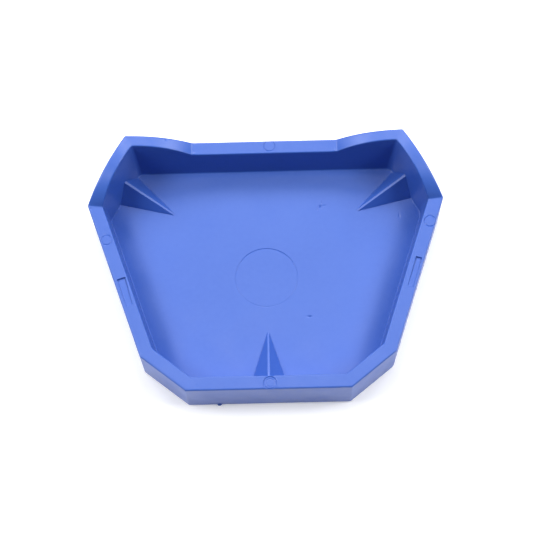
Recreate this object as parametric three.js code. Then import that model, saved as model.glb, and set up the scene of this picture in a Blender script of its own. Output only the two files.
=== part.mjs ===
import * as THREE from 'three';

// Model base former: a shallow open tray moulded in one piece, in which a plaster base is
// cast under a dental model. It has a flat floor, an eight-sided drafted wall with a flat
// rim, a raised shoulder round each back corner, and three wedge keys on the floor.
// The moulding is split where its faces change: each wall, the floor and each key is one
// closed solid, and neighbours meet face to face.
// Millimetres, +Z up, +X to the right, +Y to the back. The origin is on the table, under
// the middle of the outline.

// Outline of the rim's outer edge, the same on both sides of the Y axis.
const overallWidth = 84;
const overallDepth = 62.2;
const backWidth = 65.6;
const frontWidth = 38;
const heelDepth = 15.7; // from the back edge forward to the heel corners, the widest points
const cutWidth = 10.5; // the cut front corners, along X
const cutDepth = 8.5; // the cut front corners, along Y

// Upright section of the wall.
const floorHeight = 4.2;
const rimHeight = 12.3;
const rimWidth = 3.3;
const innerDraft = 0.14; // how far the inner face leans out for each unit of height
const outerDraft = 0.035; // how far the outer face leans out for each unit of height

// Raised shoulders round the back corners.
const shoulderRise = 4.6; // above the rim at the back corner
const creaseOffset = 17.2; // from the middle of the back wall to where its rise begins
const heelArcRadius = 20; // of the hump along the heel wall, seen from the side
const arcSteps = 14;

// Wedge keys: a triangle on the floor, with a ridge that climbs from its tip to the wall.
const keyWidth = 8.1;
const keyRise = 4.9; // of the ridge above the floor, at the wall
const keyRidgeWidth = 0.6; // of the narrow flat along the ridge, at the wall
const keyTipWidth = 0.4;
const heelKeyLength = 12.8;
const frontKeyLength = 12.2;
const heelKeyOffset = 10.6; // from the heel corner along the heel wall's outer edge

const bluePlastic = { color: 0x5f83e6, roughness: 0.45, metalness: 0 };

// Corners of the rim's outer edge on the right side, from the back to the front. The
// shoulders lean out past the back edge, and the origin is in the middle of it all.
const shoulderLean = outerDraft * shoulderRise;
const backY = (overallDepth - shoulderLean) / 2;
const frontY = -(overallDepth + shoulderLean) / 2;
const rightCorners = [
  new THREE.Vector2(backWidth / 2, backY),
  new THREE.Vector2(overallWidth / 2, backY - heelDepth),
  new THREE.Vector2(frontWidth / 2 + cutWidth, frontY + cutDepth),
  new THREE.Vector2(frontWidth / 2, frontY),
];
const mirrored = (point) => new THREE.Vector2(-point.x, point.y);
const outline = [...rightCorners, ...rightCorners.map(mirrored).reverse()];

// How far a face of the wall lies inside the rim's outer edge, at a height.
const outerInset = (z) => outerDraft * (rimHeight - z);
const innerInset = (z) => rimWidth + innerDraft * (rimHeight - z);

// Corner i of the outline after both of its edges move inwards by the same distance.
// The corners run clockwise seen from above, so inwards is to the right of each edge.
function insetCorner(i, inset) {
  const corner = outline[i];
  const before = outline[(i + outline.length - 1) % outline.length];
  const after = outline[(i + 1) % outline.length];
  const inDirection = corner.clone().sub(before).normalize();
  const outDirection = after.clone().sub(corner).normalize();
  const inNormal = new THREE.Vector2(inDirection.y, -inDirection.x);
  const outNormal = new THREE.Vector2(outDirection.y, -outDirection.x);
  const mitre = inNormal.add(outNormal);
  return corner.clone().addScaledVector(mitre, (2 * inset) / mitre.lengthSq());
}

// A mesh with flat faces, each a convex polygon listed counterclockwise seen from outside.
function solid(name, vertices, faces) {
  const positions = [];
  for (const face of faces) {
    for (let i = 2; i < face.length; i += 1) {
      for (const index of [face[0], face[i - 1], face[i]]) {
        positions.push(...vertices[index].toArray());
      }
    }
  }
  const geometry = new THREE.BufferGeometry();
  geometry.setAttribute('position', new THREE.Float32BufferAttribute(positions, 3));
  geometry.computeVertexNormals();
  const mesh = new THREE.Mesh(geometry, new THREE.MeshStandardMaterial(bluePlastic));
  mesh.name = name;
  return mesh;
}

// One stretch of wall. startAt and endAt give the plan position of its two ends at an
// inset, and riseAt gives the height of its top above the rim, from 0 at the start to 1 at
// the end. It runs clockwise seen from above.
function wall(name, startAt, endAt, riseAt = () => 0, steps = 1) {
  const vertices = [];
  for (let step = 0; step <= steps; step += 1) {
    const along = step / steps;
    const top = rimHeight + riseAt(along);
    const section = [
      [outerInset(0), 0],
      [outerInset(top), top],
      [innerInset(top), top],
      [innerInset(floorHeight), floorHeight],
      [innerInset(floorHeight), 0],
    ];
    for (const [inset, z] of section) {
      const point = startAt(inset).lerp(endAt(inset), along);
      vertices.push(new THREE.Vector3(point.x, point.y, z));
    }
  }
  const ring = 5;
  const faces = [[4, 3, 2, 1, 0], [0, 1, 2, 3, 4].map((k) => k + steps * ring)];
  for (let step = 0; step < steps; step += 1) {
    for (let k = 0; k < ring; k += 1) {
      const here = step * ring + k;
      const next = step * ring + ((k + 1) % ring);
      faces.push([here, next, next + ring, here + ring]);
    }
  }
  return solid(name, vertices, faces);
}

// The floor: a prism that fills the wall's inner foot.
function floorPanel() {
  const corners = outline.map((_, i) => insetCorner(i, innerInset(floorHeight)));
  const lower = corners.map((point) => new THREE.Vector3(point.x, point.y, 0));
  const upper = corners.map((point) => new THREE.Vector3(point.x, point.y, floorHeight));
  const count = corners.length;
  const order = corners.map((_, i) => i);
  const sides = order.map((i) => [i, i + count, ((i + 1) % count) + count, (i + 1) % count]);
  const top = order.map((i) => i + count).reverse();
  return solid('floor_panel', [...lower, ...upper], [order, top, ...sides]);
}

// A key that stands on the floor against the wall. foot is the point of the rim's outer
// edge that it lies under, inward the unit vector from the wall towards the tray's middle.
function key(name, foot, inward, length) {
  const sideways = new THREE.Vector2(-inward.y, inward.x);
  const ridgeHeight = floorHeight + keyRise;
  const footInset = innerInset(floorHeight);
  const corner = (inset, offset, z) => {
    const point = foot.clone().addScaledVector(inward, inset).addScaledVector(sideways, offset);
    return new THREE.Vector3(point.x, point.y, z);
  };
  const vertices = [
    corner(footInset, -keyWidth / 2, floorHeight),
    corner(footInset, keyWidth / 2, floorHeight),
    corner(innerInset(ridgeHeight), -keyRidgeWidth / 2, ridgeHeight),
    corner(innerInset(ridgeHeight), keyRidgeWidth / 2, ridgeHeight),
    corner(footInset + length, -keyTipWidth / 2, floorHeight),
    corner(footInset + length, keyTipWidth / 2, floorHeight),
  ];
  const faces = [
    [0, 1, 5, 4],
    [0, 2, 3, 1],
    [2, 4, 5, 3],
    [0, 4, 2],
    [1, 3, 5],
  ];
  return solid(name, vertices, faces);
}

// The rise of the back wall: an arc that starts in a crease and is level at the corner.
function shoulderArc(along) {
  const run = backWidth / 2 - creaseOffset;
  const radius = (run ** 2 + shoulderRise ** 2) / (2 * shoulderRise);
  const fromCorner = (1 - along) * run;
  return shoulderRise - radius + Math.sqrt(radius ** 2 - fromCorner ** 2);
}

// The rise of the heel wall: an arc of a set radius through the rim at the heel corner and
// through the shoulder's height at the back corner.
function heelArc(along) {
  const run = rightCorners[0].distanceTo(rightCorners[1]);
  const halfChord = Math.hypot(run, shoulderRise) / 2;
  const tilt = Math.atan2(shoulderRise, run);
  const centreDrop = Math.sqrt(heelArcRadius ** 2 - halfChord ** 2);
  const centreX = run / 2 + centreDrop * Math.sin(tilt);
  const centreZ = shoulderRise / 2 - centreDrop * Math.cos(tilt);
  return centreZ + Math.sqrt(heelArcRadius ** 2 - (along * run - centreX) ** 2);
}

const cornerAt = (i) => (inset) => insetCorner(i, inset);
const creaseAt = (side) => (inset) => new THREE.Vector2(side * creaseOffset, backY - inset);
const reversed = (riseAt) => (along) => riseAt(1 - along);

// Corners 0 to 3 run down the right side and corners 4 to 7 run up the left side.
const walls = [
  wall('right_back_shoulder', creaseAt(1), cornerAt(0), shoulderArc, arcSteps),
  wall('right_heel_wall', cornerAt(0), cornerAt(1), reversed(heelArc), arcSteps),
  wall('right_side_wall', cornerAt(1), cornerAt(2)),
  wall('right_corner_wall', cornerAt(2), cornerAt(3)),
  wall('front_wall', cornerAt(3), cornerAt(4)),
  wall('left_corner_wall', cornerAt(4), cornerAt(5)),
  wall('left_side_wall', cornerAt(5), cornerAt(6)),
  wall('left_heel_wall', cornerAt(6), cornerAt(7), heelArc, arcSteps),
  wall('left_back_shoulder', cornerAt(7), creaseAt(-1), reversed(shoulderArc), arcSteps),
  wall('back_wall', creaseAt(-1), creaseAt(1)),
];

// The heel keys point square off the heel walls, and the front key off the front wall.
const heelDirection = rightCorners[0].clone().sub(rightCorners[1]).normalize();
const heelFoot = rightCorners[1].clone().addScaledVector(heelDirection, heelKeyOffset);
const heelInward = new THREE.Vector2(-heelDirection.y, heelDirection.x);
const frontFoot = new THREE.Vector2(0, frontY);
const keys = [
  key('right_heel_key', heelFoot, heelInward, heelKeyLength),
  key('left_heel_key', mirrored(heelFoot), mirrored(heelInward), heelKeyLength),
  key('front_key', frontFoot, new THREE.Vector2(0, 1), frontKeyLength),
];

const baseFormer = new THREE.Group();
baseFormer.add(floorPanel(), ...walls, ...keys);

export default baseFormer;
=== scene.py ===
"""Looks of the model base former: a blue tray moulded in one piece.

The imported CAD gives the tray's sizes. This script rebuilds each stretch of wall, the floor and the
keys as a finely rounded solid on the same lines, adds the marks that moulding leaves, and gives
them a moulded plastic. Lengths are in millimetres until a mesh is made or something is placed in
the scene, and in metres from there on.
"""

import math

import bmesh
import bpy
import numpy as np
from mathutils import Matrix, Vector, noise


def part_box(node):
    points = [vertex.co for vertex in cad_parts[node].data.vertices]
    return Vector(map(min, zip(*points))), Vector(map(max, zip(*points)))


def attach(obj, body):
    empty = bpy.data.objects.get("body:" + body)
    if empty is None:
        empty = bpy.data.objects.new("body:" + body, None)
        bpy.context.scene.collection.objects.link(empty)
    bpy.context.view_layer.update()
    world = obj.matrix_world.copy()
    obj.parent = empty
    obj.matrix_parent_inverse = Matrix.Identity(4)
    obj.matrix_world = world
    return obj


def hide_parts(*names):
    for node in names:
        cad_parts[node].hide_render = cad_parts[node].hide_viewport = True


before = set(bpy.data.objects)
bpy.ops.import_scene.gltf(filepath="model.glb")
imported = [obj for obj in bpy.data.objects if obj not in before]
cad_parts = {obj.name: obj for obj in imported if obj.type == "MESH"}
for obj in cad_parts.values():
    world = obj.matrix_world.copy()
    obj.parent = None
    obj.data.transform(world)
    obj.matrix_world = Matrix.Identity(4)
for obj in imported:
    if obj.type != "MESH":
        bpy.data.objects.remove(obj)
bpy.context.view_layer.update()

MM = 0.001
TINY = 1e-12  # keeps a division by a length away from zero
SLOT = "moulded_plastic"

# The walls, clockwise seen from above. Each one starts where the one before it ends.
RING = [
    "back_wall",
    "right_back_shoulder",
    "right_heel_wall",
    "right_side_wall",
    "right_corner_wall",
    "front_wall",
    "left_corner_wall",
    "left_side_wall",
    "left_heel_wall",
    "left_back_shoulder",
]
SIDES = [i for i, wall in enumerate(RING) if "side_wall" in wall]  # their places in the ring
KEYS = ["left_heel_key", "right_heel_key", "front_key"]


def add_object(name, data):
    """A new object, put in the scene."""
    added = bpy.data.objects.new(name, data)
    bpy.context.scene.collection.objects.link(added)
    return added


# ---------------------------------------------------------------- camera

CAMERA_DISTANCE = 490.06
CAMERA_ELEVATION = math.radians(68.70)
CAMERA_YAW = math.radians(1.918)
CAMERA_ROLL = math.radians(-3.152)
CAMERA_LENS = 142.05
CAMERA_SENSOR = 36
CAMERA_AIM = (0.0, -1.19)


def make_camera():
    """The camera looks steeply down from the front, with a long lens."""
    rim_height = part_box("front_wall")[1].z
    aim_x, aim_y = CAMERA_AIM
    aim = Vector((aim_x * MM, aim_y * MM, rim_height))
    back = Vector((
        math.sin(CAMERA_YAW) * math.cos(CAMERA_ELEVATION),
        -math.cos(CAMERA_YAW) * math.cos(CAMERA_ELEVATION),
        math.sin(CAMERA_ELEVATION),
    ))
    level_right = Vector((0, 0, 1)).cross(back).normalized()
    level_up = back.cross(level_right)
    right = math.cos(CAMERA_ROLL) * level_right + math.sin(CAMERA_ROLL) * level_up
    up = back.cross(right)
    data = bpy.data.cameras.new("camera")
    data.sensor_width = CAMERA_SENSOR
    data.lens = CAMERA_LENS
    camera = add_object("camera", data)
    turned = Matrix((right, up, back)).transposed()
    place = Matrix.Translation(aim + back * CAMERA_DISTANCE * MM)
    camera.matrix_world = place @ turned.to_4x4()
    bpy.context.scene.camera = camera


make_camera()

# ---------------------------------------------------------------- sizes read from the frame

SAME_POINT = 0.01  # points closer than this are the same corner


def cad_points(node):
    """A CAD node's corners, in millimetres."""
    return np.array([v.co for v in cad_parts[node].data.vertices]) / MM


def unit(vector):
    return vector / np.linalg.norm(vector)


back_points = cad_points("back_wall")
FLOOR_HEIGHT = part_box("floor_panel")[1].z / MM
RIM_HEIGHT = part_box("front_wall")[1].z / MM
BACK_EDGE = back_points[:, 1].max()
# How far the outer face's foot and the inner face's foot lie inside the rim's outer edge.
BASE_INSET = BACK_EDGE - back_points[back_points[:, 2] < SAME_POINT][:, 1].max()
FOOT_INSET = BACK_EDGE - back_points[:, 1].min()
RIM_WIDTH = BACK_EDGE - back_points[back_points[:, 2] > RIM_HEIGHT - SAME_POINT][:, 1].min()
OUTER_DRAFT = BASE_INSET / RIM_HEIGHT
INNER_DRAFT = (FOOT_INSET - RIM_WIDTH) / (RIM_HEIGHT - FLOOR_HEIGHT)


def seam(before, after):
    """The plan line across the wall where two neighbouring walls meet: a point on it and its
    step for each millimetre further in."""
    mine, other = cad_points(before), cad_points(after)
    gaps = np.linalg.norm(mine[:, None] - other[None], axis=2).min(axis=1)
    shared = mine[(gaps < SAME_POINT) & (mine[:, 2] < SAME_POINT)][:, :2]
    reach = np.linalg.norm(shared, axis=1)
    outer, inner = shared[reach.argmax()], shared[reach.argmin()]
    step = (inner - outer) / (FOOT_INSET - BASE_INSET)
    return outer - BASE_INSET * step, step


seams = [seam(RING[i - 1], RING[i]) for i in range(len(RING))]


def seam_at(i, inset):
    point, step = seams[i % len(RING)]
    return point + step * inset


directions = [unit(seam_at(i + 1, 0) - seam_at(i, 0)) for i in range(len(RING))]
inwards = [np.array((d[1], -d[0])) for d in directions]
lengths = [np.linalg.norm(seam_at(i + 1, 0) - seam_at(i, 0)) for i in range(len(RING))]
starts = np.concatenate(([0], np.cumsum(lengths)))
perimeter = starts[-1]
# How far the wall turns at the start of each stretch.
turns = [
    math.acos(min(1, float(directions[i - 1] @ directions[i]))) for i in range(len(RING))
]


def hump(wall):
    """The circle that a raised stretch of wall follows, seen from its side: where its middle
    lies along the whole ring, how high, and its radius. Read from three CAD corners."""
    i = RING.index(wall)
    points = cad_points(wall)
    points = points[points[:, 2] > FLOOR_HEIGHT + SAME_POINT]
    offsets = (points[:, :2] - seam_at(i, 0)) @ inwards[i]
    outer = points[offsets < RIM_WIDTH / 2]
    offsets = offsets[offsets < RIM_WIDTH / 2]
    first = np.array([seam_at(i, inset) for inset in offsets])
    last = np.array([seam_at(i + 1, inset) for inset in offsets])
    spans = np.linalg.norm(last - first, axis=1)
    along = np.einsum("ij,j->i", outer[:, :2] - first, directions[i]) / spans * lengths[i]
    order = np.argsort(along)
    along, heights = along[order], outer[order, 2]
    picked = [0, len(along) // 2, len(along) - 1]
    (x1, x2, x3), (z1, z2, z3) = along[picked], heights[picked]
    equations = np.array(((x2 - x1, z2 - z1), (x3 - x2, z3 - z2))) * 2
    sums = np.array((x2**2 - x1**2 + z2**2 - z1**2, x3**2 - x2**2 + z3**2 - z2**2))
    middle, height = np.linalg.solve(equations, sums)
    radius = math.hypot(x1 - middle, z1 - height)
    return starts[i] + middle, height, radius


humps = [hump(wall) for wall in RING if "shoulder" in wall or "heel" in wall]

# ---------------------------------------------------------------- roundings and marks

CREASE_BLEND = 0.15  # how softly the humps run into the level rim and each other
HUMP_FLOOR = 5.0  # how far below the rim the humps' curve stays where there is no hump
FOOT_ROUNDING = 0.5  # along the outer foot
RIM_OUTER_ROUNDING = 0.38
RIM_INNER_ROUNDING = 0.32
# Radius of the fillet between wall and floor at each seam of the ring. It changes evenly from
# one seam to the next.
FLOOR_FILLETS = [0.4, 0.4, 0.45, 0.2, 0.15, 0.5, 0.5, 0.15, 0.15, 0.35]
FLOOR_START = FOOT_INSET + 0.7  # where every section has reached the floor
RIM_CORNER = 0.45  # plan radius of the outer corners at the rim
RIM_INNER_CORNER = 0.6
FOOT_CORNER = [0, 0, 0.8, 0.8, 1.7, 1.0, 0.6, 0.8, 0.8, 0.8]  # at the foot, one for each seam
FLOOR_CORNER = [0, 0, 2.2, 3.0, 1.8, 1.5, 1.2, 1.3, 1.0, 1.5]  # inside, at the floor

# Ejector pin marks: wall, distance along it (from its end if negative), distance in from the
# rim's outer edge, radius, depth of the ring cut round the disc and height of the lip outside it.
PIN_MARKS = [
    ("back_wall", 18.4, 1.45, 1.30, 0.16, 0.0),
    ("right_side_wall", 6.8, 1.35, 1.33, 0.18, 0.0),
    ("left_side_wall", -9.9, 1.62, 1.20, 0.15, 0.0),
    ("front_wall", 18.7, 1.52, 1.42, 0.14, 0.06),
]
PIN_SINK = 0.03  # how far the disc itself lies under the rim
LIP_GAP = 0.24  # from the ring out to its lip
# A disc with a lip has a second, fainter ring inside it.
SECOND_RING = 0.66  # share of the disc's radius
SECOND_RING_DEPTH = 0.5  # share of the ring's depth
# Scuffs and nicks on the rim: wall, distance along it (from its end if negative), distance in
# from the rim's outer edge, radius, and height (negative where the rim is dented).
SCUFFS = [
    ("left_back_shoulder", 9.6, 0.35, 0.28, -0.20),
    ("back_wall", 0.5, 3.05, 0.32, 0.06),
    ("back_wall", -0.4, 3.05, 0.35, 0.06),
    ("front_wall", 8.4, 2.20, 0.35, -0.03),
    ("front_wall", 35.6, 1.40, 0.45, -0.04),
    ("left_side_wall", -1.1, 0.45, 0.22, -0.12),
]
# Shallow pockets in the side rims, deep at the back end and fading forward: wall, back end and
# front end along it (from its end if negative), and as distances in from the rim's outer edge,
# outer edge, inner edge at the back end and inner edge at the front end.
POCKETS = [
    ("right_side_wall", 16.3, 23.8, 0.72, 2.05, 1.95),
    ("left_side_wall", -20.2, -27.3, 0.90, 2.80, 2.35),
]
POCKET_DEPTH = 0.42
POCKET_FADE = 0.62  # share of the depth lost by the front end
POCKET_FADE_BEND = 0.7  # below 1, most of it is lost near the back end
MARK_EDGE = 0.09  # width of the marks' edges and of the rings
SOFT_EDGE = 1.3 * MARK_EDGE  # width of the lip and the second ring
# The floor drops a little towards the side walls.
SAG_DEPTH = 0.60
SAG_WIDTH = 5.2
SAG_BLEND = 2.0  # how high up the inner faces are drawn down with the floor


def smooth_max(a, b, blend):
    return (a + b + np.sqrt((a - b) ** 2 + blend**2)) / 2


def smooth_step(x):
    x = np.clip(x, 0, 1)
    return x * x * (3 - 2 * x)


def bell(x):
    return np.exp(-(x**2))


def inside_edge(distance):
    """1 well inside a mark's edge and 0 well outside, by the distance inside it."""
    return smooth_step(distance / MARK_EDGE + 0.5)


def rim_top(s):
    """Height of the rim's top at distances s along the outer edge of the whole ring."""
    level = np.full_like(s, RIM_HEIGHT)
    raised = np.full_like(s, RIM_HEIGHT - HUMP_FLOOR)
    for middle, height, radius in humps:
        from_middle = (s - middle + perimeter / 2) % perimeter - perimeter / 2
        inside = np.clip(radius**2 - from_middle**2, 0, None)
        raised = smooth_max(raised, height + np.sqrt(inside), CREASE_BLEND)
    return smooth_max(raised, level, CREASE_BLEND)


def distance_along(wall, along):
    return along if along >= 0 else lengths[RING.index(wall)] + along


def in_rim_frame(plan, wall):
    """Plan points as distances along a wall and in from its rim's outer edge."""
    i = RING.index(wall)
    offset = plan - seam_at(i, 0)
    return offset @ directions[i], offset @ inwards[i]


def rim_relief(wall, plan):
    """How far the marks raise or sink the rim's top at plan points on one wall."""
    relief = np.zeros(plan.shape[:-1])
    for name, at, inset, radius, depth, lip in PIN_MARKS:
        if name == wall:
            along, across = in_rim_frame(plan, wall)
            r = np.hypot(along - distance_along(wall, at), across - inset)
            relief -= PIN_SINK * inside_edge(radius - r)
            relief -= depth * bell((r - radius) / MARK_EDGE)
            relief += lip * bell((r - radius - LIP_GAP) / SOFT_EDGE)
            if lip:
                second_depth = SECOND_RING_DEPTH * depth
                relief -= second_depth * bell((r - radius * SECOND_RING) / SOFT_EDGE)
    for name, back, front, outer, inner_back, inner_front in POCKETS:
        if name == wall:
            along, across = in_rim_frame(plan, wall)
            back, front = distance_along(wall, back), distance_along(wall, front)
            share = (along - back) / (front - back)
            inner = inner_back + (inner_front - inner_back) * share
            length = abs(front - back)
            ends = inside_edge(share * length) * inside_edge((1 - share) * length)
            sides = inside_edge(across - outer) * inside_edge(inner - across)
            faded = POCKET_FADE * np.clip(share, 0, 1) ** POCKET_FADE_BEND
            depth = POCKET_DEPTH * (1 - faded)
            relief -= depth * ends * sides
    for name, at, inset, radius, height in SCUFFS:
        if name == wall:
            along, across = in_rim_frame(plan, wall)
            r = np.hypot(along - distance_along(wall, at), across - inset)
            relief += height * bell(r / radius)
    return relief


def floor_sag(plan):
    """How far the floor lies below its level beside the side walls, at plan points."""
    feet = [(plan - seam_at(i, FOOT_INSET)) @ inwards[i] for i in SIDES]
    return SAG_DEPTH * (1 - np.clip(np.min(feet, axis=0) / SAG_WIDTH, 0, 1)) ** 2


# ---------------------------------------------------------------- the wall's section

FILLET_STEPS = 5
UNDERSIDE_STEPS = 2
FACE_STEPS = 6
RIM_STEPS = 44
# The section's points that the marks on the rim move: from the middle of the outer rounding to
# the middle of the inner one.
RIM_START = UNDERSIDE_STEPS + FILLET_STEPS + FACE_STEPS + (FILLET_STEPS + 1) // 2
RIM_END = RIM_START + FILLET_STEPS + RIM_STEPS


def fillet(before, corner, after, radius):
    """Points of the arc that rounds one corner of a flat path."""
    back, ahead = unit(before - corner), unit(after - corner)
    half = math.acos(float(np.clip(back @ ahead, -1, 1))) / 2
    centre = corner + unit(back + ahead) * radius / math.sin(half)
    first = corner + back * radius / math.tan(half) - centre
    last = corner + ahead * radius / math.tan(half) - centre
    sweep = math.pi - 2 * half
    shares = np.linspace(0, 1, FILLET_STEPS + 1)[:, None]
    arc = (np.sin((1 - shares) * sweep) * first + np.sin(shares * sweep) * last) / math.sin(sweep)
    return centre + arc


def between(first, last, steps):
    """The points inside a straight line, without its ends."""
    return first + (last - first) * (np.arange(1, steps) / steps)[:, None]


def wall_section(top, floor_fillet):
    """The wall's section under a rim of this height, as (inset, height) pairs: along the
    underside, up the outer face, over the rim and down the inner face to the floor."""
    corners = np.array((
        (FLOOR_START, 0),
        (BASE_INSET, 0),
        (BASE_INSET - OUTER_DRAFT * top, top),
        (RIM_WIDTH - INNER_DRAFT * (top - RIM_HEIGHT), top),
        (FOOT_INSET, FLOOR_HEIGHT),
        (FLOOR_START, FLOOR_HEIGHT),
    ))
    radii = (FOOT_ROUNDING, RIM_OUTER_ROUNDING, RIM_INNER_ROUNDING, floor_fillet)
    steps = (UNDERSIDE_STEPS, FACE_STEPS, RIM_STEPS, FACE_STEPS)
    points = [corners[:1]]
    for i, (radius, count) in enumerate(zip(radii, steps), start=1):
        arc = fillet(corners[i - 1], corners[i], corners[i + 1], radius)
        points += [between(points[-1][-1], arc[0], count), arc]
    points += [corners[-1:]]
    return np.concatenate(points)


def corner_radius(i, inset, height, top):
    """Plan radius of the rounding at seam i for a point of the section."""
    if inset < RIM_WIDTH / 2:
        share = min(1, max(0, 1 - height / top))
        return RIM_CORNER + (FOOT_CORNER[i] - RIM_CORNER) * share
    share = min(1, max(0, (top - height) / (top - FLOOR_HEIGHT)))
    return RIM_INNER_CORNER + (FLOOR_CORNER[i] - RIM_INNER_CORNER) * share


def round_off(distance, radius, turn):
    """Where a point at some distance from a corner goes when the corner is rounded: its new
    distance along the edge, and how far it moves in."""
    tangent = radius * math.tan(turn / 2)
    if distance >= tangent or tangent <= 0:
        return distance, 0.0
    angle = turn / 2 * (1 - distance / tangent)
    return tangent - radius * math.sin(angle), radius * (1 - math.cos(angle))


def plan_point(i, share, inset, height, top):
    """Plan position of a section's point at a share of the way along wall i."""
    first, last = seam_at(i, inset), seam_at(i + 1, inset)
    length = np.linalg.norm(last - first)
    along = share * length
    end = (i + 1) % len(RING)
    if share < 0.5:
        radius = corner_radius(i, inset, height, top)
        along, inward = round_off(along, radius, turns[i])
    else:
        radius = corner_radius(end, inset, height, top)
        to_end, inward = round_off(length - along, radius, turns[end])
        along = length - to_end
    return first + directions[i] * along + inwards[i] * inward


# ---------------------------------------------------------------- where the sections stand

# Distance between neighbouring sections: on a plain stretch, on a hump, near a corner, near a
# crease, across a mark, at a pocket's ends and along a pocket.
COARSE_STEP = 0.9
HUMP_STEP = 0.45
CORNER_STEP = 0.13
CREASE_STEP = 0.10
FINE_STEP = 0.08
POCKET_END_STEP = 0.05
POCKET_STEP = 0.4
# How far from a corner, a crease, a pin mark's ring, a scuff or a pocket's end that holds.
CORNER_REACH = 1.7
CREASE_REACH = 0.6
PIN_REACH = 0.6
SCUFF_REACH = 0.3
POCKET_REACH = 0.5
SURVEY_STEP = 0.02  # how finely a wall is surveyed to place its sections


def step_at(i, along):
    """How far apart the sections stand at a distance along wall i."""
    wall = RING[i]
    raised = "shoulder" in wall or "heel" in wall
    steps = [HUMP_STEP if raised else COARSE_STEP]
    from_end = min(along, lengths[i] - along)
    if from_end < CORNER_REACH:
        steps.append(CORNER_STEP)
    if from_end < CREASE_REACH:
        steps.append(CREASE_STEP)
    for name, at, _, radius, _, _ in PIN_MARKS:
        if name == wall and abs(along - distance_along(name, at)) < radius + PIN_REACH:
            steps.append(FINE_STEP)
    for name, at, _, radius, _ in SCUFFS:
        if name == wall and abs(along - distance_along(name, at)) < 2 * radius + SCUFF_REACH:
            steps.append(FINE_STEP)
    for name, back, front, *_ in POCKETS:
        if name == wall:
            ends = distance_along(name, back), distance_along(name, front)
            if min(abs(along - ends[0]), abs(along - ends[1])) < POCKET_REACH:
                steps.append(POCKET_END_STEP)
            elif min(ends) < along < max(ends):
                steps.append(POCKET_STEP)
    return min(steps)


def stations(i):
    """Shares of the way along wall i at which its sections stand."""
    along = np.linspace(0, lengths[i], math.ceil(lengths[i] / SURVEY_STEP) + 1)
    density = np.array([1 / step_at(i, place) for place in along[:-1]])
    counted = np.concatenate(([0], np.cumsum(density * (along[1] - along[0]))))
    wanted = np.linspace(0, counted[-1], math.ceil(counted[-1]) + 1)
    return np.interp(wanted, counted, along) / lengths[i]


def wall_grid(i):
    """The points of one wall: one row for each section."""
    shares = stations(i)
    tops = rim_top(starts[i] + shares * lengths[i])
    first_fillet, last_fillet = FLOOR_FILLETS[i], FLOOR_FILLETS[(i + 1) % len(RING)]
    rows = []
    for share, top in zip(shares, tops):
        row = []
        floor_fillet = (1 - share) * first_fillet + share * last_fillet
        for inset, height in wall_section(top, floor_fillet):
            x, y = plan_point(i, share, inset, height, top)
            row.append((x, y, height))
        rows.append(row)
    grid = np.array(rows)
    rim = grid[:, RIM_START:RIM_END]
    rim[..., 2] += rim_relief(RING[i], rim[..., :2])
    inside = grid[:, RIM_END:]
    drawn = np.clip((FLOOR_HEIGHT + SAG_BLEND - inside[..., 2]) / SAG_BLEND, 0, 1)
    inside[..., 2] -= floor_sag(inside[..., :2]) * drawn
    return grid


# ---------------------------------------------------------------- meshes

LEAST_AGREEMENT = 0.2  # cosine between a face's own normal and a vertex normal that it may take


def grid_normals(grid):
    """Vertex normals of a grid of points, weighted by area and not yet of unit length."""
    diagonal = grid[1:, 1:] - grid[:-1, :-1]
    other = grid[:-1, 1:] - grid[1:, :-1]
    patches = np.cross(diagonal, other)
    normals = np.zeros_like(grid)
    normals[:-1, :-1] += patches
    normals[1:, :-1] += patches
    normals[:-1, 1:] += patches
    normals[1:, 1:] += patches
    return normals


def make_piece(name, points, faces, normals, node=None):
    """A smooth-shaded piece, which stands for a CAD node if one is named. normals has one entry
    for each point. A face that turns away from them keeps its own normal."""
    mesh = bpy.data.meshes.new(name)
    mesh.from_pydata((np.asarray(points) * MM).tolist(), [], faces)
    mesh.polygons.foreach_set("use_smooth", [True] * len(mesh.polygons))
    mesh.update()
    loops = []
    for polygon in mesh.polygons:
        own = polygon.normal
        for index in polygon.vertices:
            wanted = Vector(normals[index])
            loops.append(wanted if wanted.dot(own) > LEAST_AGREEMENT else own.copy())
    mesh.normals_split_custom_set(loops)
    piece = add_object(name, mesh)
    if node:
        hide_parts(node)
    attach(piece, "root")
    return piece


def tube_faces(rows, columns, clockwise=False):
    """Outward faces of a closed tube of points, which are numbered row by row, and of its ends.
    Seen from beyond the last row, each row runs anticlockwise unless said otherwise."""
    faces = []
    for row in range(rows - 1):
        for column in range(columns):
            here, beside = row * columns + column, row * columns + (column + 1) % columns
            if clockwise:
                faces.append((here, here + columns, beside + columns, beside))
            else:
                faces.append((here, beside, beside + columns, here + columns))
    first = tuple(range(columns))
    last = tuple(range((rows - 1) * columns, rows * columns))
    if clockwise:
        return [*faces, first, last[::-1]]
    return [*faces, first[::-1], last]


def wall_piece(i, grid, normals):
    """One wall as a closed solid: its surface, the hidden side against the floor and the hidden
    faces against its neighbours."""
    faces = tube_faces(*grid.shape[:2], clockwise=True)
    points, bends = grid.reshape(-1, 3), normals.reshape(-1, 3)
    return make_piece(RING[i] + "_moulding", points, faces, bends, RING[i])


# ---------------------------------------------------------------- floor

# The round witness mark of a mould insert.
WITNESS_CENTRE = np.array((-0.15, -0.85))
WITNESS_RADIUS = 7.35
WITNESS_WIDTH = 0.08
WITNESS_DEPTH_BACK = 0.11
WITNESS_DEPTH_FRONT = 0.04
# The rings of points that the floor is made of. They are close together at the witness mark.
FLOOR_RINGS = 40  # from the walls to the witness mark
WITNESS_RINGS = 10  # on either side of the mark
WITNESS_RING_STEP = 0.04
MIDDLE_RINGS = 9
MIDDLE_RADII = (WITNESS_RADIUS - 0.5, 0.3)
UNDERSIDE_SHARES = (0.02, 0.5, 1.0)  # of the way from the middle to the walls

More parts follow.
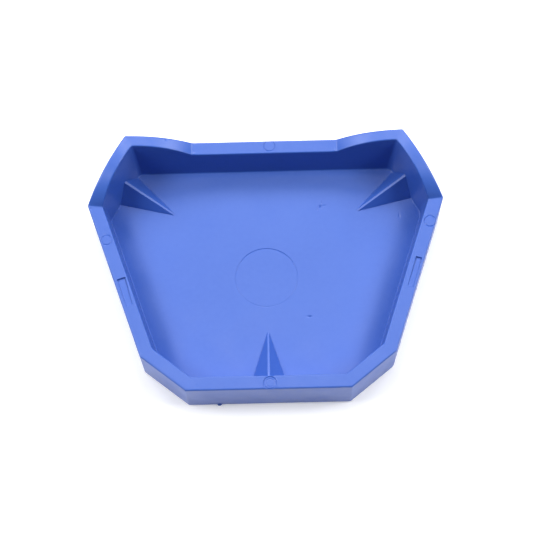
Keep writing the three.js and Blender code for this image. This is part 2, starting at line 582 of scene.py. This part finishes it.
# Small dents in the floor: middle, half length along X, half width along Y and depth.
DENTS = [
    ((13.0, 17.0), 0.36, 0.26, 0.24),
    ((12.4, 16.4), 0.18, 0.42, 0.14),
    ((14.0, 17.3), 0.46, 0.15, 0.10),
    ((13.3, 18.1), 0.15, 0.38, 0.08),
    ((9.8, -10.9), 0.50, 0.17, 0.20),
    ((31.9, 14.3), 0.17, 0.50, 0.13),
]
DENT_REACH = 1.5  # the mesh is finer than elsewhere this near to a dent
DENT_CUTS = 5
FLOOR_WAVE = 0.035  # how far the floor swells and sinks
FLOOR_WAVE_SIZE = 7.0
FLOOR_WAVE_MARGIN = 0.8  # there are no waves this close to the floor's edge
FLOOR_WAVE_FADE = 2.5  # and they grow over this distance from there
SLOPE_STEP = 0.02  # how far to either side the floor is measured to find its slope


def floor_relief(plan):
    """How far the floor lies above or below its level at plan points."""
    from_walls = [(plan - seam_at(i, 0)) @ inwards[i] for i in range(len(RING))]
    from_edge = np.min(from_walls, axis=0) - FLOOR_START
    places = np.hstack((plan, np.zeros((len(plan), 1)))) / FLOOR_WAVE_SIZE
    waves = np.array([noise.noise(place) for place in places])
    grown = smooth_step((from_edge - FLOOR_WAVE_MARGIN) / FLOOR_WAVE_FADE)
    relief = FLOOR_WAVE * waves * grown
    outward = plan - WITNESS_CENTRE
    r = np.linalg.norm(outward, axis=1)
    back_share = 0.5 + 0.5 * outward[:, 1] / r
    depth = WITNESS_DEPTH_FRONT + (WITNESS_DEPTH_BACK - WITNESS_DEPTH_FRONT) * back_share
    relief -= depth * bell((r - WITNESS_RADIUS) / WITNESS_WIDTH)
    for middle, half_length, half_width, depth in DENTS:
        offset = (plan - middle) / (half_length, half_width)
        relief -= depth * np.exp(-(offset**2).sum(axis=1))
    return relief - floor_sag(plan)


def floor_normals(plan):
    """Upward normals of the floor at plan points."""
    slopes = [
        floor_relief(plan + step) - floor_relief(plan - step)
        for step in ((SLOPE_STEP, 0), (0, SLOPE_STEP))
    ]
    normals = np.column_stack((-slopes[0], -slopes[1], np.full(len(plan), 2 * SLOPE_STEP)))
    return normals / np.linalg.norm(normals, axis=1, keepdims=True)


grids = [wall_grid(i) for i in range(len(RING))]
ring_normals = [grid_normals(grid) for grid in grids]
for i in range(len(RING)):
    joined = ring_normals[i - 1][-1] + ring_normals[i][0]
    ring_normals[i - 1][-1] = joined
    ring_normals[i][0] = joined
for grid, normals in zip(grids, ring_normals):
    normals /= np.linalg.norm(normals, axis=2, keepdims=True)
    normals[:, -1] = floor_normals(grid[:, -1, :2])
    normals[:, 0] = (0, 0, -1)
walls = [wall_piece(i, grids[i], ring_normals[i]) for i in range(len(RING))]


def floor_outlines():
    """Closed outlines of the floor, from the middle of its underside out to the walls and back
    over the top to the middle."""
    upper_edge = np.concatenate([grid[:-1, -1] for grid in grids])
    lower_edge = np.concatenate([grid[:-1, 0] for grid in grids])
    outward = upper_edge[:, :2] - WITNESS_CENTRE
    reach = np.linalg.norm(outward, axis=1, keepdims=True)
    outward = outward / reach
    outermost = WITNESS_RADIUS + WITNESS_RINGS * WITNESS_RING_STEP
    radii = [outermost + (reach - outermost) * share for share in np.linspace(1, 0, FLOOR_RINGS)]
    radii += [outermost - WITNESS_RING_STEP * step for step in range(1, 2 * WITNESS_RINGS)]
    radii += list(np.linspace(*MIDDLE_RADII, MIDDLE_RINGS))
    outlines = []
    for share in UNDERSIDE_SHARES:
        plan = WITNESS_CENTRE + (lower_edge[:, :2] - WITNESS_CENTRE) * share
        outlines.append(np.hstack((plan, np.zeros_like(reach))))
    for radius in radii:
        plan = WITNESS_CENTRE + outward * radius
        outlines.append(np.hstack((plan, np.full_like(reach, FLOOR_HEIGHT))))
    return outlines


def floor_piece():
    """The floor: rings that follow the walls outside and the witness mark inside, finer round
    the dents, and let down to the floor's relief."""
    outlines = floor_outlines()
    shell = bmesh.new()
    vertices = [shell.verts.new(point) for outline in outlines for point in outline]
    for face in tube_faces(len(outlines), len(outlines[0])):
        shell.faces.new([vertices[i] for i in face])

    def near_dent(vertex):
        if vertex.co.z < FLOOR_HEIGHT / 2:
            return False
        return any(math.dist(vertex.co[:2], dent[0]) < DENT_REACH for dent in DENTS)

    edges = [edge for edge in shell.edges if near_dent(edge.verts[0]) and near_dent(edge.verts[1])]
    bmesh.ops.subdivide_edges(shell, edges=edges, cuts=DENT_CUTS, use_grid_fill=True)
    shell.verts.index_update()
    points = np.array([vertex.co for vertex in shell.verts])
    normals = np.tile((0.0, 0.0, -1.0), (len(points), 1))
    top = points[:, 2] > FLOOR_HEIGHT / 2
    normals[top] = floor_normals(points[top, :2])
    points[top, 2] += floor_relief(points[top, :2])
    faces = [tuple(vertex.index for vertex in face.verts) for face in shell.faces]
    shell.free()
    return make_piece("floor_panel_moulding", points, faces, normals, "floor_panel")


floor_panel = floor_piece()

# ---------------------------------------------------------------- keys

KEY_SECTIONS = 28
KEY_FACE_STEPS = 4
KEY_BURIED = 0.25  # how far a key reaches into the floor and the wall, so that no gap shows
KEY_ROUNDING = 0.13
KEY_FULL_ROUNDING = 0.6  # height from which the ridge has its full rounding
KEY_TIP_HEIGHT = 0.02
RIDGE_CLEARANCE = 1  # the CAD corners higher than this above the floor belong to the ridge


def key_corners(node):
    """A key's six CAD corners, by where they lie: the foot against the wall, the ridge's top
    and the tip, each as (right, left) seen from the wall."""
    points = np.unique(np.round(cad_points(node), 3), axis=0)
    raised = points[:, 2] > FLOOR_HEIGHT + RIDGE_CLEARANCE
    ridge, low = points[raised], points[~raised]
    middle = ridge.mean(axis=0)
    reach = np.linalg.norm(low[:, :2] - middle[:2], axis=1)
    order = np.argsort(reach)
    foot, tip = low[order[:2]], low[order[2:]]
    inward = unit((tip.mean(axis=0) - foot.mean(axis=0))[:2])
    sideways = np.array((-inward[1], inward[0]))
    return [pair[np.argsort(pair[:, :2] @ sideways)] for pair in (foot, ridge, tip)]


def key_piece(node):
    """A wedge key: sections that shrink from the wall to the tip, with a softened ridge."""
    foot, ridge, tip = key_corners(node)
    rows = []
    buried_share = KEY_BURIED / np.linalg.norm(foot[0] - tip[0])
    down = np.array((0, 0, KEY_BURIED))
    for share in np.linspace(-buried_share, 1, KEY_SECTIONS):
        base = foot + (tip - foot) * share
        crest = ridge + (tip - ridge) * share
        width = np.linalg.norm(base[1] - base[0])
        crest_width = np.linalg.norm(crest[1] - crest[0])
        height = max(crest[0][2] - base[0][2], KEY_TIP_HEIGHT)
        path = np.array((
            (-width / 2, 0),
            (-crest_width / 2, height),
            (crest_width / 2, height),
            (width / 2, 0),
        ))
        radius = KEY_ROUNDING * min(1, height / KEY_FULL_ROUNDING)
        flat = np.concatenate((
            path[:1],
            between(path[0], path[1], KEY_FACE_STEPS),
            fillet(path[0], path[1], path[2], radius),
            fillet(path[1], path[2], path[3], radius),
            between(path[2], path[3], KEY_FACE_STEPS),
            path[3:],
        ))
        sideways = unit(base[1] - base[0])
        rise = flat[:, 1:] / height
        centre = base.mean(axis=0) * (1 - rise) + crest.mean(axis=0) * rise
        row = centre + flat[:, :1] * sideways
        row[:, 2] = base[0][2] + flat[:, 1]
        row = np.concatenate((row[:1] - down, row, row[-1:] - down))
        rows.append(row)
    grid = np.array(rows)
    normals = -grid_normals(grid)
    normals /= np.linalg.norm(normals, axis=2, keepdims=True) + TINY
    faces = tube_faces(*grid.shape[:2])
    points, bends = grid.reshape(-1, 3), normals.reshape(-1, 3)
    return make_piece(node + "_moulding", points, faces, bends, node)


keys = [key_piece(node) for node in KEYS]

# ---------------------------------------------------------------- gate remnant

GATE_X = -11.7
GATE_HEIGHT = 0.42
GATE_SIZE = (0.50, 0.36, 0.40)  # half sizes along X, Y and Z
GATE_ROUGHNESS = 0.16  # share by which its size varies
GATE_LUMPS = 2.3  # how many times over the roughness varies
GATE_SQUARENESS = 0.8  # 1 would be an ellipsoid, less is squarer
GATE_SUBDIVISIONS = 4


def gate_remnant():
    """The torn-off stub of the sprue, low on the front wall's outer face."""
    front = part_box("front_wall")[0].y / MM
    middle = Vector((GATE_X, front + OUTER_DRAFT * (RIM_HEIGHT - GATE_HEIGHT), GATE_HEIGHT))
    stub = bmesh.new()
    bmesh.ops.create_icosphere(stub, subdivisions=GATE_SUBDIVISIONS, radius=1)
    points, normals = [], []
    for vertex in stub.verts:
        direction = vertex.co.normalized()
        reach = 1 + GATE_ROUGHNESS * noise.noise(direction * GATE_LUMPS)
        squared = Vector([math.copysign(abs(c) ** GATE_SQUARENESS, c) for c in direction])
        points.append(middle + Vector([c * size * reach for c, size in zip(squared, GATE_SIZE)]))
        normals.append(Vector([c / size for c, size in zip(direction, GATE_SIZE)]).normalized())
    faces = [tuple(vertex.index for vertex in face.verts) for face in stub.faces]
    stub.free()
    return make_piece("gate_remnant", points, faces, normals)


stub = gate_remnant()

# ---------------------------------------------------------------- material

PLASTIC_IOR = 1.49
DARK_BLUE = (0.036, 0.104, 0.445, 1)
LIGHT_BLUE = (0.042, 0.113, 0.462, 1)
SPECKLE_BLUE = (0.048, 0.122, 0.475, 1)
MOST_SPECKLE = 0.35
ROUGHNESS_RANGE = (0.30, 0.40)
# Noises: scale, in cycles for each metre, and detail.
CLOUDS = (70, 4)
SPECKLES = (900, 2)
GLOSS_PATCHES = (160, 4)
SWELLS = (110, 2)
DRAG_LINES = (3200, 3)
GRAIN = (2600, 3)
NOISE_ROUGHNESS = 0.55
NOISE_RANGE = (0.3, 0.7)  # most of a noise lies between these
DRAG_STRETCH = (1, 1, 0.05)  # draws the noise out into upright lines
# Bumps: strength, and height in metres.
SWELL_BUMP = (0.5, 0.00006)
DRAG_BUMP = (0.6, 0.000012)
GRAIN_BUMP = (0.35, 0.000015)


def moulded_plastic():
    """Satin blue plastic, slightly clouded, with a fine moulded grain."""
    material = bpy.data.materials.new(SLOT)
    material.use_nodes = True
    nodes, links = material.node_tree.nodes, material.node_tree.links
    shader = nodes["Principled BSDF"]
    shader.inputs["IOR"].default_value = PLASTIC_IOR
    everywhere = nodes.new("ShaderNodeTexCoord").outputs["Object"]

    def cloud(scale, detail, place=everywhere):
        node = nodes.new("ShaderNodeTexNoise")
        node.inputs["Scale"].default_value = scale
        node.inputs["Detail"].default_value = detail
        node.inputs["Roughness"].default_value = NOISE_ROUGHNESS
        links.new(place, node.inputs["Vector"])
        return node.outputs["Fac"]

    def ramp(source, low, high):
        node = nodes.new("ShaderNodeMapRange")
        node.inputs["From Min"].default_value = NOISE_RANGE[0]
        node.inputs["From Max"].default_value = NOISE_RANGE[1]
        node.inputs["To Min"].default_value = low
        node.inputs["To Max"].default_value = high
        links.new(source, node.inputs["Value"])
        return node.outputs["Result"]

    def mix(factor, first, second):
        node = nodes.new("ShaderNodeMix")
        node.data_type = "RGBA"
        colours = [socket for socket in node.inputs if socket.type == "RGBA"]
        for socket, value in zip(colours, (first, second)):
            if isinstance(value, tuple):
                socket.default_value = value
            else:
                links.new(value, socket)
        links.new(factor, node.inputs["Factor"])
        return next(socket for socket in node.outputs if socket.type == "RGBA")

    clouded = mix(ramp(cloud(*CLOUDS), 0, 1), DARK_BLUE, LIGHT_BLUE)
    speckled = mix(ramp(cloud(*SPECKLES), 0, MOST_SPECKLE), clouded, SPECKLE_BLUE)
    links.new(speckled, shader.inputs["Base Color"])
    links.new(ramp(cloud(*GLOSS_PATCHES), *ROUGHNESS_RANGE), shader.inputs["Roughness"])

    def bump(height, strength, distance, under=None):
        node = nodes.new("ShaderNodeBump")
        node.inputs["Strength"].default_value = strength
        node.inputs["Distance"].default_value = distance
        links.new(height, node.inputs["Height"])
        if under is not None:
            links.new(under, node.inputs["Normal"])
        return node.outputs["Normal"]

    upright = nodes.new("ShaderNodeMapping")
    upright.inputs["Scale"].default_value = DRAG_STRETCH
    links.new(everywhere, upright.inputs["Vector"])
    swell = bump(cloud(*SWELLS), *SWELL_BUMP)
    drag = bump(cloud(*DRAG_LINES, upright.outputs["Vector"]), *DRAG_BUMP, swell)
    grain = bump(cloud(*GRAIN), *GRAIN_BUMP, drag)
    links.new(grain, shader.inputs["Normal"])
    return material


plastic = moulded_plastic()
for piece in [*walls, floor_panel, *keys, stub]:
    piece.data.materials.append(plastic)

# ---------------------------------------------------------------- stage

TABLE_HALF_WIDTH = 1.5
TABLE_GAP = 0.00002  # keeps the table clear of the tray's underside
TABLE_COLOUR = (0.9, 0.9, 0.9, 1)
TABLE_ROUGHNESS = 0.9
TABLE_GLOSS = 0.1
TABLE_GLOW = 0.30  # light that comes up through the pale table top, so that shadows stay faint
WHITE = (1, 1, 1, 1)


def make_floor():
    """A wide plain pale table top at the height the tray stands on, a little lit from below."""
    half = TABLE_HALF_WIDTH
    mesh = bpy.data.meshes.new("studio_floor")
    plan = ((-half, -half), (half, -half), (half, half), (-half, half))
    mesh.from_pydata([(x, y, -TABLE_GAP) for x, y in plan], [], [(0, 1, 2, 3)])
    floor = add_object("studio_floor", mesh)
    material = bpy.data.materials.new("studio_floor")
    material.use_nodes = True
    shader = material.node_tree.nodes["Principled BSDF"]
    shader.inputs["Base Color"].default_value = TABLE_COLOUR
    shader.inputs["Roughness"].default_value = TABLE_ROUGHNESS
    shader.inputs["Specular IOR Level"].default_value = TABLE_GLOSS
    shader.inputs["Emission Color"].default_value = WHITE
    shader.inputs["Emission Strength"].default_value = TABLE_GLOW
    mesh.materials.append(material)


# Soft boxes: name, compass angle from the front (anticlockwise from above), elevation, width
# and watts. All stand the same distance from the tray and face it.
SOFT_BOXES = [
    ("back", 180, 44, 0.36, 3.6),
    ("back_right", 135, 42, 0.36, 2.5),
    ("back_left", -135, 42, 0.36, 2.5),
    ("right", 90, 49, 0.36, 4.2),
    ("left", -90, 49, 0.36, 4.2),
    ("overhead", 180, 78, 0.30, 1.3),
]
SOFT_BOX_DISTANCE = 0.9
ROOM_BRIGHTNESS = 0.04


def soft_box(name, turn, rise, width, watts):
    around, up = math.radians(turn), math.radians(rise)
    level = SOFT_BOX_DISTANCE * math.cos(up)
    height = SOFT_BOX_DISTANCE * math.sin(up)
    place = Vector((level * math.sin(around), -level * math.cos(around), height))
    to_tray = Vector((0, 0, 0)) - place
    data = bpy.data.lights.new(name, "AREA")
    data.shape = "DISK"
    data.size = width
    data.energy = watts
    light = add_object(name, data)
    light.location = place
    light.rotation_euler = to_tray.to_track_quat("-Z", "Y").to_euler()


def make_light():
    """Soft boxes behind the tray, beside it and above it, in a dim pale room."""
    for box in SOFT_BOXES:
        soft_box(*box)
    world = bpy.data.worlds.new("room")
    world.use_nodes = True
    background = world.node_tree.nodes["Background"]
    background.inputs["Color"].default_value = WHITE
    background.inputs["Strength"].default_value = ROOM_BRIGHTNESS
    bpy.context.scene.world = world
    bpy.context.scene.view_settings.view_transform = "Standard"


make_floor()
make_light()
